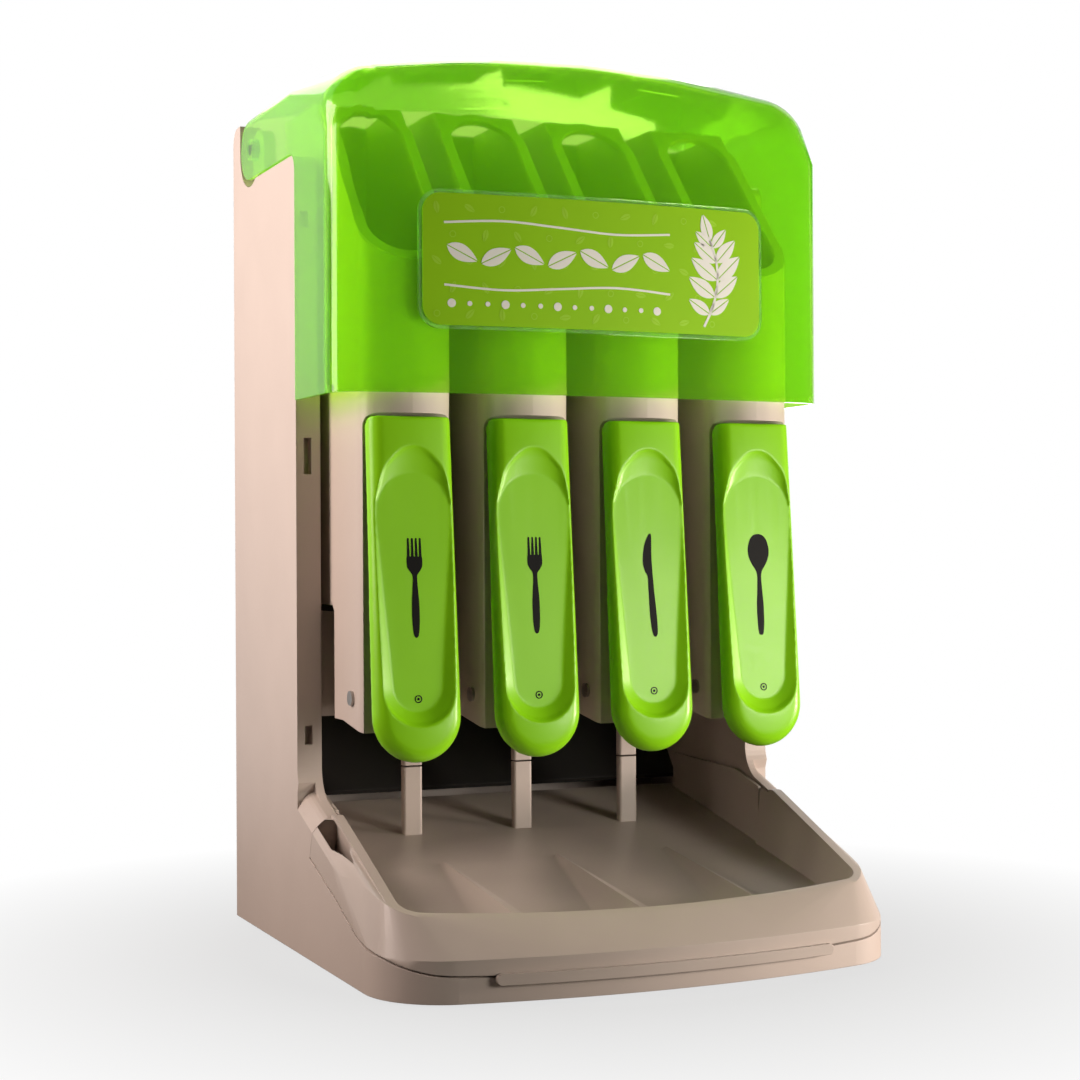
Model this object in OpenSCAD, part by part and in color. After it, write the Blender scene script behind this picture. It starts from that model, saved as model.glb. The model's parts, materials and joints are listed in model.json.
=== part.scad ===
// Counter-top cutlery dispenser with four towers, four press levers,
// a flip-up clear cover and a pull-out catch tray.
// Frame: +Z up, front towards -Y, origin at the bottom centre of the box.
// Depths written d are measured forwards from the back face.

/* [Stations] */
// Distance between neighbouring towers
station_pitch = 86; // [82:0.5:92]
// Outer width of a tower's front shell
tower_w = 64.4; // [60:0.2:66]
// Wall of a tower
tower_wall = 2.4; // [1.8:0.2:3]
// Step by which the rear of a tower is narrower on each side
tower_step = 2; // [1:0.5:3]
// Gap between an outer tower and the side panel
side_gap = 4.7; // [3:0.1:8]
// Height of the lowest edge of the front shells
tower_bottom = 157; // [155:1:162]
// Height of the open underside of the magazines
magazine_bottom = 240; // [236:1:250]
// Distance of the towers' tops below the cover's shoulders
tower_drop = 5.5; // [4:0.5:12]
// Depth of the rear face of the towers
tower_back = 66; // [64:1:76]
// Depth of a front shell, from the collar's face backwards
shell_len = 77; // [72:1:82]
// Step of the shell face behind the levers
lever_step = 13.5; // [12:0.5:15]
// Depth of the collar face above the levers
tower_front = 248; // [244:0.5:250]
// Corner radius of the collar, seen from above
tower_corner = 16; // [12:1:18]
// Bow of the collar's front, seen from above
tower_bow = 13; // [10:1:15]

/* [Mouths] */
// Height from the lower to the upper end of a mouth's slanted face
mouth_drop = 122; // [110:1:130]
// Depth from the upper to the lower end of a slanted face
mouth_run = 108; // [100:1:116]
// Width of the rim round a mouth
mouth_rim = 7.5; // [6:0.5:9]
// Thickness of the slanted face
mouth_plate = 3; // [2:0.5:4]
// Height by which the rim stands proud of the slanted face
rim_proud = 1.2; // [0.6:0.2:2]

/* [Body] */
// Thickness of a side panel
panel_t = 17.4; // [14:0.2:20]
// Depth of the side panels above the tray
panel_d = 161.8; // [156:0.2:165]
// Radius of the ears' top rear corner
ear_r = 12; // [6:1:16]
// Depth of the base, without the finger lip
base_d = 372; // [366:1:380]
// Bow of the front edge of the base
base_bow = 25; // [15:1:35]
// Corner radius of the base, seen from above
base_corner = 54; // [40:1:60]
// Wall of the base pan and of the tray
pan_wall = 3; // [2:0.5:4]
// Height of the feet under the base
foot_h = 1.5; // [1:0.5:4]
// Diameter of a foot
foot_dia = 18; // [14:1:24]
// Thickness of the back panel
back_t = 3; // [2:0.5:4]
// Depth of a cross rail
rail_d = 18; // [14:1:22]
// Height of a cross rail
rail_h = 34; // [24:1:44]

/* [Tray] */
// Depth of the reference point on the tray's rim
rim_d = 200; // [195:1:205]
// Height of the rim at the reference point
rim_z = 98; // [94:1:102]
// Fall of the rim for each millimetre forwards
rim_fall = 0.355; // [0.33:0.005:0.37]
// Width of the rim band
rim_band = 18.8; // [16:0.2:21]
// Drop of the rim band at its outer edge
rim_drop = 12; // [6:1:14]
// Width of the rim and front wall at the middle of the front
front_band = 32; // [28:1:36]
// Inner corner radius of the rim
rim_corner = 16; // [10:1:24]
// Height of the tray floor at the front of the lanes
floor_z = 67; // [64:1:70]
// Depth at which the floor height is measured
floor_d = 150; // [145:1:155]
// Fall of the floor for each millimetre forwards
floor_fall = 0.2; // [0.17:0.01:0.22]
// Fall of a lane rib's crest for each millimetre forwards
crest_fall = 0.127; // [0.1:0.005:0.14]
// Slope angle of a lane rib's sides
rib_angle = 26; // [20:1:32]
// Gap of the seam between the tray and the base
seam_gap = 1.2; // [0.8:0.1:2]
// Width of the finger lip
lip_w = 237; // [180:1:250]
// Distance by which the finger lip stands out
lip_out = 4; // [2:0.5:6]
// Height of the finger lip
lip_h = 7; // [5:0.5:8]
// Width of a lane divider's post
post_w = 14.5; // [12:0.5:16]
// Depth of the front of the lane dividers
post_d = 125; // [120:1:130]
// Depth of a post from front to back
post_len = 7; // [6:1:26]
// Height at which the dividers are split
split_z = 121; // [118:1:124]
// Depth of the rear end of the tray
tray_back = 50; // [48:1:60]

/* [Levers] */
// Width of a lever at its top
lever_top_w = 58.8; // [56:0.2:60]
// Width of a lever at its round lower end
lever_low_w = 61.4; // [58:0.2:64]
// Distance of the levers' tops below the cover's lower edge
lever_drop = 15.8; // [14:0.2:20]
// Height of a lever's tip
lever_tip = 138; // [134:1:146]
// Lean of a lever's face, forwards at the bottom
lever_lean = 4.4; // [4:0.1:5]
// Thickness of a lever from its rear edge to its face
lever_t = 12.5; // [11.5:0.5:13.5]
// Crown of a lever's face, from side to side
lever_crown = 2.2; // [1:0.2:3.4]
// Radius of a lever's rolled edges
lever_edge = 10.5; // [8:0.5:11]
// Wall of a lever
lever_wall = 2.4; // [1.8:0.2:3]
// Width of the thumb recess
recess_w = 55.5; // [48:0.5:56]
// Distance of the recess below the lever's top edge
recess_gap = 20; // [18:1:34]
// Distance of the recess above the lever's tip
recess_tip = 23; // [20:1:30]
// Depth of the recess at its upper end
recess_edge = 0.8; // [0.4:0.1:1]
// Depth of the recess at its scooped end
recess_deep = 6; // [4:0.5:6.5]
// Gap between a lever and the collar above it
collar_gap = 2.8; // [2.2:0.1:3.4]
// Diameter of a lever's pivot pin
pin_dia = 5; // [4:0.5:6]
// Distance of the pivot below the lever's top edge
pivot_drop = 12; // [10:0.5:14]

/* [Gates] */
// Distance of the gate axles behind the shell face
axle_back = 19.1; // [17:0.1:22]
// Height of the gate axles
axle_z = 179; // [176:1:184]
// Diameter of a gate axle
axle_dia = 6; // [5:0.5:8]
// Head diameter of the axle screws
head_dia = 10; // [8:0.5:12]
// Width of a gate's floor
gate_w = 50; // [44:1:54]
// Gap between a gate's floor and the magazine above it
gate_gap = 2; // [1:0.5:4]
// Sheet thickness of a gate
gate_t = 3; // [2:0.5:4]

/* [Cover] */
// Height of the cover's top at its sides
cover_side = 596.5; // [595:0.5:600]
// Rise of the cover's top in the middle
cover_rise = 19; // [12:1:26]
// Height of the cover's front, from its shoulders down
cover_drop = 215.5; // [204:0.5:222]
// Distance of the cover's front before the towers
cover_reach = 14; // [12:0.5:20]
// Bow of the cover's front
cover_bow = 14; // [8:1:18]
// Vertical corner radius of the cover
cover_corner = 22; // [14:1:26]
// Radius of the cover's top front edge
cover_round = 45; // [36:1:50]
// Radius of the cover's top front corners
cover_ball = 39; // [28:1:44]
// Radius between the cover's arms and its front part
arm_fillet = 12; // [8:0.5:12]
// Wall of the cover
cover_wall = 2.5; // [2:0.25:3]
// Thickness added at the cover's lower hem
hem_t = 0.8; // [0.4:0.2:1.2]
// Height of the hem
hem_h = 5; // [3:0.5:8]
// Depth of the cover's hinge
hinge_d = 47; // [46:0.5:50]
// Distance of the hinge below the cover's shoulders
hinge_drop = 23; // [21.5:0.5:25]
// Radius of the cover's round rear ends
arm_r = 22; // [20:0.5:23]
// Diameter of the hinge pins
hinge_dia = 8; // [6:0.5:10]
// Width of the label plate
label_w = 256; // [200:1:270]
// Height of the label plate
label_h = 92; // [70:1:100]
// Distance of the label's middle below the cover's shoulders
label_drop = 127.5; // [118:0.5:140]
// Corner radius of the label plate
label_r = 15; // [8:1:20]
// Thickness of the label holder
label_t = 2.4; // [1.8:0.2:3]

/* [Clearances] */
// Radial clearance of a pin or axle in its bore
run_fit = 0.05; // [0.02:0.01:0.09]
// Gap between pieces that slide past each other
slide_gap = 0.3; // [0.2:0.1:0.8]

/* [Hidden] */
$fn = 64;

// Colours
c_shell = [0.80, 0.74, 0.68];
c_dark = [0.30, 0.29, 0.28];
c_lime = [0.48, 0.75, 0.10];
c_clear = [0.35, 0.80, 0.13, 0.45];
c_steel = [0.62, 0.62, 0.63];
c_rubber = [0.12, 0.12, 0.12];

// Whole body
station_n = 4;
half_span = (station_n - 1) / 2 * station_pitch;
inner_half = half_span + tower_w / 2 + side_gap;
half_w = inner_half + panel_t;
body_d = base_d + lip_out;
hinge_z = cover_side - hinge_drop;
cover_low = cover_side - cover_drop;
ear_h = cover_side - 0.5;
tower_top = cover_side - tower_drop;
mouth_low = tower_top - mouth_drop;
mouth_start = tower_front - mouth_run;
shell_back = tower_front - shell_len;
shell_front = tower_front - lever_step;
axle_d = shell_front - axle_back;
lever_top = cover_low - lever_drop;
cover_front = tower_front + cover_reach;
rim_front = base_d - front_band;
big_fn = 360;

function station_x(i) = (i - 1) * station_pitch - half_span;
function bow_r(w, s) = (w * w + s * s) / (2 * s);
function arc(cx, cy, r, a0, a1, n) =
    [for (i = [0:n]) let (a = a0 + (a1 - a0) * i / n)
        [cx + r * cos(a), cy + r * sin(a)]];

// Extrudes a side view, drawn in (depth, height), along X
module along_x(x0, w) {
    translate([x0 + w, body_d / 2, 0])
        rotate([90, 0, -90])
            linear_extrude(height = w)
                children();
}

// Extrudes a front view, drawn in (x, height), from depth d0 to d1
module along_y(d0, d1) {
    translate([0, body_d / 2 - d0, 0])
        rotate([90, 0, 0])
            linear_extrude(height = d1 - d0)
                children();
}

// Extrudes a plan view, drawn in (x, depth), upwards
module plan(z0, h) {
    translate([0, body_d / 2, z0])
        mirror([0, 1, 0])
            linear_extrude(height = h)
                children();
}

// Box between two depths and two heights
module slab(x0, x1, d0, d1, z0, z1) {
    translate([x0, body_d / 2 - d1, z0])
        cube([x1 - x0, d1 - d0, z1 - z0]);
}

// Round bar along X
module bar_x(x0, x1, d, z, r) {
    translate([x0, body_d / 2 - d, z])
        rotate([0, 90, 0])
            cylinder(r = r, h = x1 - x0);
}

// Round bar along Y, from depth d0 forwards to d1
module bar_y(x, z, d0, d1, r) {
    translate([x, body_d / 2 - d0, z])
        rotate([90, 0, 0])
            cylinder(r = r, h = d1 - d0);
}

// Plan outline with a bowed front and two rounded front corners
module bowed(w, f, s, r, b, n = 48) {
    rb = bow_r(w, s);
    cx = w - r;
    cy = (f - rb) + sqrt((rb - r) * (rb - r) - cx * cx);
    xt = cx * rb / (rb - r);
    intersection() {
        union() {
            translate([-w, b])
                square([2 * w, max(cy - b, 0.01)]);
            intersection() {
                translate([0, f - rb])
                    circle(r = rb, $fn = big_fn);
                translate([-xt, f - rb])
                    square([2 * xt, rb + 1]);
            }
            for (sx = [-1, 1])
                translate([sx * cx, cy])
                    circle(r = r, $fn = n);
        }
        translate([-w, b])
            square([2 * w, f - b]);
    }
}

// Rectangle with round corners
module rounded(w, h, r) {
    translate([-w / 2 + r, -h / 2])
        square([w - 2 * r, h]);
    translate([-w / 2, -h / 2 + r])
        square([w, h - 2 * r]);
    for (sx = [-1, 1], sy = [-1, 1])
        translate([sx * (w / 2 - r), sy * (h / 2 - r)])
            circle(r = r);
}

// --- Side panels -------------------------------------------------------

panel_top = hinge_z - arm_r - slide_gap * 4;
ear_gap_r = arm_r + 5.4;
rim_deg = atan(rim_fall);
flare_r = 24;
flare_z = rim_z + rim_fall * (rim_d - panel_d);
flare_cut = flare_r * tan((90 - rim_deg) / 2);
panel_top_r = 10;
cheek_end = base_d - 72;
lug_t = 9;
lug_r = 15;
boss_r = 8;
slot_w = 5.5;
slot_in = 5.5;
slot_deep = 8;

// Seam between tray and body, seen from the side
seam_0 = rim_d - 11;
function seam_at(t) = seam_0 + t * (base_d - seam_0);
seam = [
    [rim_d + 2, rim_z + 7], [seam_0, 70], [seam_at(0.31), 51],
    [seam_at(0.43), 42], [seam_at(0.56), 33], [seam_at(0.65), 29.6],
    [seam_at(0.75), 26.5], [seam_at(0.83), 22], [seam_at(0.89), 18.5],
    [seam_at(0.95), 16.5], [base_d + 14, 15]
];
seam_n = len(seam);

module below_seam(z0) {
    polygon(concat(
        [for (p = seam) p],
        [[base_d + 14, z0], [0, z0], [0, rim_z + 7]]));
}

module above_seam(gap) {
    translate([gap * 0.6, gap])
        polygon(concat(
            [for (p = seam) p],
            [[base_d + 30, 14], [base_d + 30, 200], [rim_d + 2, 200]]));
}

module panel_view() {
    difference() {
        polygon(concat(
            [[0, foot_h], [cheek_end, foot_h], [cheek_end, rim_z],
             [rim_d + 1, rim_z - rim_fall]],
            arc(panel_d + flare_r, flare_z + flare_cut, flare_r,
                270 - rim_deg, 180, 8),
            [[panel_d, panel_top - panel_top_r]],
            arc(panel_d - panel_top_r, panel_top - panel_top_r,
                panel_top_r, 0, 90, 6),
            [[hinge_d, panel_top]],
            [[hinge_d, ear_h]],
            arc(ear_r, ear_h - ear_r, ear_r, 90, 180, 6)));
        translate([hinge_d, hinge_z])
            circle(r = ear_gap_r);
        translate([hinge_d - ear_gap_r, hinge_z])
            square([2 * ear_gap_r, ear_h]);
        above_seam(0);
    }
}

// Rounded outer fall of the rim band, cut from panels and tray alike
module band_cut(sx) {
    r = (rim_drop * rim_drop + 144) / (2 * rim_drop);
    translate([0, body_d / 2 - panel_d, flare_z])
        rotate([rim_deg, 0, 0])
            rotate([90, 0, 0])
                linear_extrude(height = 240)
                    scale([sx, 1])
                        polygon(concat(
                            [for (i = [0:6]) let (t = i / 6)
                                [half_w - 12 + 12.5 * t,
                                 -rim_drop * t * t]],
                            [[half_w + 20, -rim_drop],
                             [half_w + 20, 60],
                             [half_w - 12, 60]]));
}

module side_panel(sx) {
    x0 = sx > 0 ? inner_half : -half_w;
    lug_x = sx > 0 ? inner_half : -inner_half - lug_t;
    color(c_shell)
    difference() {
        union() {
            along_x(x0, panel_t)
                panel_view();
            // Lug that carries the cover's hinge pin
            along_x(lug_x, lug_t) {
                translate([hinge_d, hinge_z])
                    circle(r = lug_r);
                translate([hinge_d - lug_r, panel_top - 20])
                    square([2 * lug_r, hinge_z - panel_top + 20]);
            }
        }
        intersection() {
            band_cut(sx);
            slab(-half_w - 9, half_w + 9, panel_d, base_d, 0, 200);
        }
        bar_x(lug_x - 1, lug_x + lug_t + 1, hinge_d, hinge_z,
              hinge_dia / 2 + run_fit);
        // Three small slots in the front face
        for (s = [[0.262, 13], [0.6, 25], [0.909, 11]])
            slab(sx > 0 ? half_w - slot_in - slot_w : -half_w + slot_in,
                 sx > 0 ? half_w - slot_in : -half_w + slot_in + slot_w,
                 panel_d - slot_deep, panel_d + 5,
                 s[0] * panel_top, s[0] * panel_top + s[1]);
    }
}

module left_side_panel() { side_panel(-1); }
module right_side_panel() { side_panel(1); }

// --- Base pan, back and rails -----------------------------------------

tray_rail_x = 120;
tray_rail_w = 6;
tray_rail_z = seam[seam_n - 2][1] + 1;
tray_rail_0 = tray_back + 20;
tray_rail_1 = base_d - 42;
back_h = hinge_z - ear_gap_r - 2;

module base_pan() {
    color(c_shell) {
        slab(-inner_half, inner_half, 0, cheek_end + 1,
             foot_h, foot_h + pan_wall);
        plan(foot_h, pan_wall)
            bowed(half_w, base_d, base_bow, base_corner, cheek_end);
        // Front skirt, up to the seam
        intersection() {
            along_x(-half_w - 1, 2 * half_w + 2)
                below_seam(foot_h);
            plan(foot_h, 60)
                difference() {
                    bowed(half_w, base_d, base_bow, base_corner,
                          cheek_end);
                    bowed(half_w - pan_wall, base_d - pan_wall,
                          base_bow, base_corner - pan_wall,
                          cheek_end - 5);
                }
        }
        // Rails that the tray slides on
        for (sx = [-1, 1])
            slab(sx * tray_rail_x - tray_rail_w / 2,
                 sx * tray_rail_x + tray_rail_w / 2,
                 tray_rail_0, tray_rail_1, foot_h + 1, tray_rail_z);
    }
}

module back_panel() {
    color(c_shell)
        slab(-inner_half, inner_half, 0, back_t, foot_h + pan_wall,
             back_h);
}

// Cross rail that carries the towers
module rail(z) {
    color(c_dark)
        slab(-inner_half, inner_half, tower_back - rail_d, tower_back,
             z, z + rail_h);
}

upper_rail_z = back_h - rail_h - 15;
lower_rail_z = magazine_bottom + 20;
module upper_rail() { rail(upper_rail_z); }
module lower_rail() { rail(lower_rail_z); }

web_t = 3;
web_low = tower_bottom;
ramp_top = web_low - 7;
ramp_low = floor_at(tray_back) + 7;

// Sloping deflector behind the tray
module chute_ramp() {
    color(c_dark)
        along_x(-inner_half, 2 * inner_half)
            polygon([[back_t, ramp_top], [back_t, ramp_top - 4],
                     [tray_back - 6, ramp_low],
                     [tray_back - 4, ramp_low + 3]]);
}

// Post between two lanes
module post(z0, z1) {
    plan(z0, z1 - z0)
        translate([0, post_d - post_len / 2])
            rounded(post_w, post_len, 2);
}

// Upper part of a lane divider, fixed to the back by a web
module divider(k) {
    web_top = magazine_bottom - 8;
    color(c_shell)
    translate([(k - 2) * station_pitch, 0, 0]) {
        post(split_z + seam_gap, web_top);
        slab(-web_t / 2, web_t / 2, back_t, post_d - post_len / 2,
             web_low, web_top);
    }
}
module divider_1() { divider(1); }
module divider_2() { divider(2); }
module divider_3() { divider(3); }

module rubber_feet() {
    color(c_rubber)
    for (x = [-1, 1], d = [26, cheek_end - 10])
        translate([x * (inner_half - 26), body_d / 2 - d, 0])
            cylinder(d = foot_dia, h = foot_h);
}

// --- Catch tray --------------------------------------------------------

join_d = rim_d - 12;
rim_cos = cos(rim_deg);
rim_half = half_w - rim_band;
function along_rim(d) = (d - rim_d) / rim_cos;
function floor_at(d) = floor_z - floor_fall * (d - floor_d);
floor_deg = atan(floor_fall);

// Draws in the tilted plane of the rim, in (x, distance forwards)
module on_rim(h0, h) {
    translate([0, body_d / 2 - rim_d, rim_z])
        rotate([rim_deg, 0, 0])
            translate([0, 0, h0])
                mirror([0, 1, 0])
                    linear_extrude(height = h)
                        children();
}

// Draws in the tilted plane of the tray floor
module on_floor(h0, h) {
    translate([0, body_d / 2 - floor_d, floor_z])
        rotate([floor_deg, 0, 0])
            translate([0, 0, h0])
                mirror([0, 1, 0])
                    linear_extrude(height = h)
                        children();
}

// Outer form of the tray's front part, drawn in by t on every side
module tray_hull(t) {
    hull() {
        plan(8, 20 - t)
            bowed(half_w - t, base_d - t, base_bow, base_corner - t,
                  join_d, 40);
        slab(-half_w + t, half_w - t, join_d, rim_d + 6, 8,
             rim_z + 2 - t);
        on_rim(-0.6 - t, 0.6)
            bowed(half_w - 9 - t, along_rim(rim_front + 7) - t, 18, 38,
                  4, 40);
    }
}

// Space above the tray floor, grown by t on every side
module tray_space(t) {
    hull() {
        on_rim(0, 24)
            bowed(rim_half + t, along_rim(rim_front) + t, 17,
                  rim_corner + t, -16, 40);
        on_floor(-t, 1)
            bowed(rim_half - 5 + t, rim_front - 14 - floor_d + t, 17,
                  rim_corner + t, join_d - floor_d - 4, 40);
    }
}

module lane_rib(x) {
    h = 26;
    translate([x, body_d / 2 - floor_d, floor_z - 0.5])
        rotate([atan(crest_fall) + 90, 0, 0])
            linear_extrude(height = base_d - floor_d)
                polygon([[0, 0], [h / tan(rib_angle), -h],
                         [-h / tan(rib_angle), -h]]);
}

module tray_over_seam() {
    along_x(-half_w - 1, 2 * half_w + 2)
        above_seam(seam_gap);
}

module tray_front() {
    difference() {
        union() {
            // Outer skin, down to the seam
            intersection() {
                difference() {
                    tray_hull(0);
                    tray_hull(pan_wall);
                }
                tray_over_seam();
            }
            // Basin under the lanes
            intersection() {
                tray_hull(0);
                tray_space(pan_wall);
                union() {
                    slab(-tray_side, tray_side, join_d, base_d, 0,
                         rim_z + 40);
                    tray_over_seam();
                }
            }
        }
        tray_space(0);
        for (sx = [-1, 1])
            band_cut(sx);
    }
}

lip_z = seam[seam_n - 1][1] + seam_gap + 3.2;

module finger_lip() {
    rb = bow_r(half_w, base_bow);
    intersection() {
        plan(0, 60)
            translate([0, base_d - rb])
                difference() {
                    circle(r = rb + lip_out, $fn = big_fn);
                    circle(r = rb + seam_gap / 3, $fn = big_fn);
                }
        along_y(base_d - 60, body_d + 1)
            translate([0, lip_z - lip_h / 2])
                rounded(lip_w, lip_h, lip_h / 2 - 0.2);
    }
    // Root of the lip, above the seam
    intersection() {
        plan(0, 60)
            translate([0, base_d - rb])
                difference() {
                    circle(r = rb + 1, $fn = big_fn);
                    circle(r = rb - pan_wall / 2, $fn = big_fn);
                }
        along_y(base_d - 60, body_d + 1)
            translate([0, lip_z - 1])
                square([lip_w - 8, 1.6], center = true);
    }
}

tray_wall = 2.4;
tray_side = inner_half - 1.4;

// Runners that stand on the base pan's rails
module runners(d0, d1) {
    for (sx = [-1, 1])
        along_x(sx * tray_rail_x - tray_rail_w / 2 + 1,
                tray_rail_w - 2)
            polygon([
                [d0, tray_rail_z + slide_gap],
                [d1, tray_rail_z + slide_gap],
                [d1, floor_at(d1) - 1], [d0, floor_at(d0) - 1]]);
}

// Front part of the tray: basin, rim, lane ribs and finger lip
module catch_tray() {
    color(c_shell) {
        tray_front();
        intersection() {
            for (k = [-1, 0, 1])
                lane_rib(k * station_pitch);
            tray_space(pan_wall / 2);
            slab(-half_w, half_w, join_d, base_d, 0, rim_z);
        }
        runners(join_d, tray_rail_1 - 10);
        finger_lip();
    }
}

// Rear part of the tray, under the towers
module tray_rear() {
    color(c_shell) {
        along_x(-tray_side, 2 * tray_side)
            polygon([
                [tray_back - 8, floor_at(tray_back - 8)],
                [join_d, floor_at(join_d)],
                [join_d, floor_at(join_d) - pan_wall],
                [tray_back - 8, floor_at(tray_back - 8) - pan_wall]]);
        for (sx = [-1, 1])
            along_x(sx > 0 ? tray_side - tray_wall : -tray_side,
                    tray_wall)
                polygon([
                    [tray_back, floor_at(tray_back) - 1],
                    [join_d, floor_at(join_d) - 1],
                    [join_d, rim_z + 3], [panel_d - 10, rim_z + 13],
                    [tray_back, rim_z + 16]]);
        // Lower posts between the lanes
        for (k = [-1, 0, 1])
            translate([k * station_pitch, 0, 0])
                intersection() {
                    post(floor_at(post_d) - 6, split_z);
                    along_x(-post_w, 2 * post_w)
                        polygon([
                            [tray_back, floor_at(tray_back) - 1],
                            [tray_back, split_z], [join_d, split_z],
                            [join_d, floor_at(join_d) - 1]]);
                }
        runners(tray_rail_0 + 10, join_d);
    }
}

// --- Towers ------------------------------------------------------------

mouth_deg = atan(mouth_drop / mouth_run);
mouth_len = sqrt(mouth_drop * mouth_drop + mouth_run * mouth_run);
tower_half = tower_w / 2;
rear_half = tower_half - tower_step;
collar_z = lever_top + collar_gap;
cut_r = 9;

// Side view of the front shell: stepped face, slanted top and foot
module shell_view() {
    difference() {
        polygon([
            [shell_back, magazine_bottom + 3],
            [shell_back + 6, magazine_bottom - 4],
            [shell_back + 6, tower_bottom + 6],
            [195, tower_bottom + 6],
            [shell_front, tower_bottom],
            [shell_front, collar_z - cut_r],
            [shell_front + cut_r, collar_z],
            [tower_front + 1, collar_z],
            [tower_front + 1, mouth_low],
            [mouth_start, tower_top + 1.1],
            [shell_back - 3, tower_top + 1.1],
            [shell_back - 3, magazine_bottom + 3]]);
        // Round inner corner over the lever's top
        translate([shell_front + cut_r, collar_z - cut_r])
            circle(r = cut_r);
    }
}

// Draws on the slanted face: x across, y up the slope from its low end
module on_mouth(h0, h) {
    translate([0, body_d / 2 - tower_front, mouth_low])
        rotate([mouth_deg, 0, 0])
            translate([0, 0, h0])
                linear_extrude(height = h)
                    children();
}

module stadium(w, l) {
    translate([-w / 2, w / 2])
        square([w, l - w]);
    for (y = [w / 2, l - w / 2])
        translate([0, y])
            circle(d = w);
}

module tower_body() {
    difference() {
        union() {
            // Front shell and collar
            intersection() {
                plan(tower_bottom, tower_top - tower_bottom)
                    bowed(tower_half, tower_front, tower_bow,
                          tower_corner, shell_back);
                along_x(-tower_half - 1, tower_w + 2)
                    shell_view();
            }
            // Magazine behind the shell
            plan(magazine_bottom, tower_top - magazine_bottom)
                translate([-rear_half, tower_back])
                    square([2 * rear_half,
                            shell_back + 1 - tower_back]);
        }
        // Room for the cutlery
        difference() {
            union() {
                plan(tower_bottom - 5, tower_top - tower_bottom + 20)
                    translate([-rear_half + tower_wall,
                               tower_back + tower_wall])
                        square([2 * (rear_half - tower_wall),
                                shell_front - tower_wall * 2
                                - tower_back]);
                plan(collar_z + tower_wall, tower_top)
                    bowed(rear_half - tower_wall,
                          tower_front - tower_wall, tower_bow,
                          tower_corner - tower_wall,
                          tower_back + tower_wall);
            }
            // Slanted face stays closed round its opening
            translate([-100, 0, 0])
                along_slope();
        }
        // Opening through the slanted face
        on_mouth(-40, 80)
            translate([0, mouth_rim])
                stadium(tower_w - 2 * mouth_rim,
                        mouth_len - 2 * mouth_rim);
        // Everything above the slanted face
        on_mouth(0, 200)
            translate([-60, -60])
                square([120, mouth_len + 60]);
        // Bores for the gate axle
        bar_x(-tower_half - 1, tower_half + 1, axle_d, axle_z,
              axle_dia / 2 + run_fit);
        // Window for the lever's push finger
        slab(-9, 9, shell_front - 10, shell_front + 1,
             finger_z - 14, finger_z + 14);
    }
    // Rim that stands proud round the mouth
    on_mouth(-0.5, rim_proud + 0.5)
        difference() {
            stadium(tower_w, mouth_len);
            translate([0, mouth_rim])
                stadium(tower_w - 2 * mouth_rim,
                        mouth_len - 2 * mouth_rim);
        }
    // Lugs for the lever's pin
    difference() {
        for (sx = [-1, 1])
            along_x(sx * lug_x - 2, 4) {
                translate([pivot_d, pivot_z])
                    circle(r = pivot_r);
                translate([shell_front - 1, pivot_z - pivot_r])
                    square([pivot_d - shell_front + 1, 2 * pivot_r]);
            }
        bar_x(-40, 40, pivot_d, pivot_z, pin_dia / 2);
    }
}

// Slab just under the slanted face
module along_slope() {
    on_mouth(-mouth_plate, mouth_plate + 1)
        translate([0, -40])
            square([200, mouth_len + 40]);
}

module tower(i) {
    color(c_shell)
    translate([station_x(i), 0, 0])
        tower_body();
}
module tower_1() { tower(1); }
module tower_2() { tower(2); }
module tower_3() { tower(3); }
module tower_4() { tower(4); }

// --- Press levers ------------------------------------------------------

lever_back = shell_front + 0.8;
pivot_z = lever_top - pivot_drop;
pivot_d = lever_back + lever_t / 2;
gate_ratio = 5;
finger_z = axle_z + (pivot_z - axle_z) / (gate_ratio + 1);
finger_d = axle_d + gate_t + 1;
lever_len = (lever_top - lever_tip) / cos(lever_lean);
top_r = 8;
pivot_r = 4;
ear_x = 17;
lug_x = 12;

// Depth just under the floor of the thumb recess, at a height
function finger_root(z) = lever_back + (lever_top - z) * tan(lever_lean)
    + lever_t - recess_deep - lever_wall / 2;

// Lever frame: x across, y down the face from its top, z outwards
module lever_frame() {
    translate([0, body_d / 2 - lever_back, lever_top])
        rotate([90 - lever_lean, 0, 0])
            mirror([0, 1, 0])
                children();
}

// Side view of a lever in its own frame: round upper rear corner
module lever_side(t) {
    r = top_r - t;
    polygon(concat(
        arc(t + r, t + r, r, 180, 270, 8),
        [[lever_len + 10, t], [lever_len + 10, lever_t + 1],
         [t + 2, lever_t + 1], [t, lever_t - 1.5]]));
    // The hollow is open at the back, below the rounded corner
    if (t > 0)
        translate([pivot_drop - pivot_r - 1.2, -1])
            square([lever_len + 10, t + 3]);
}

// Crowned section of a lever at half width w and height h
module lever_section(w, h, t) {
    bowed(w, h, lever_crown, lever_edge - t / 2, t > 0 ? -4 : 0, 24);
}

// Crowned body of a lever with a domed lower end, drawn in by t
module lever_form(t) {
    w0 = lever_top_w / 2;
    w1 = lever_low_w / 2;
    intersection() {
        translate([-w1 - 5, 0, 0])
            rotate([90, 0, 90])
                linear_extrude(height = 2 * w1 + 10)
                    lever_side(t);
        hull() {
            translate([0, lever_len - w1, 0])
                rotate_extrude($fn = 48)
                    intersection() {
                        lever_section(w1 - t, lever_t - t, t);
                        translate([0, -5])
                            square([w1 + 5, lever_t + 6]);
                    }
            translate([0, t + 8, 0])
                rotate([90, 0, 0])
                    linear_extrude(height = 8)
                        lever_section(w0 - t, lever_t - t, t);
        }
    }
}

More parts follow.
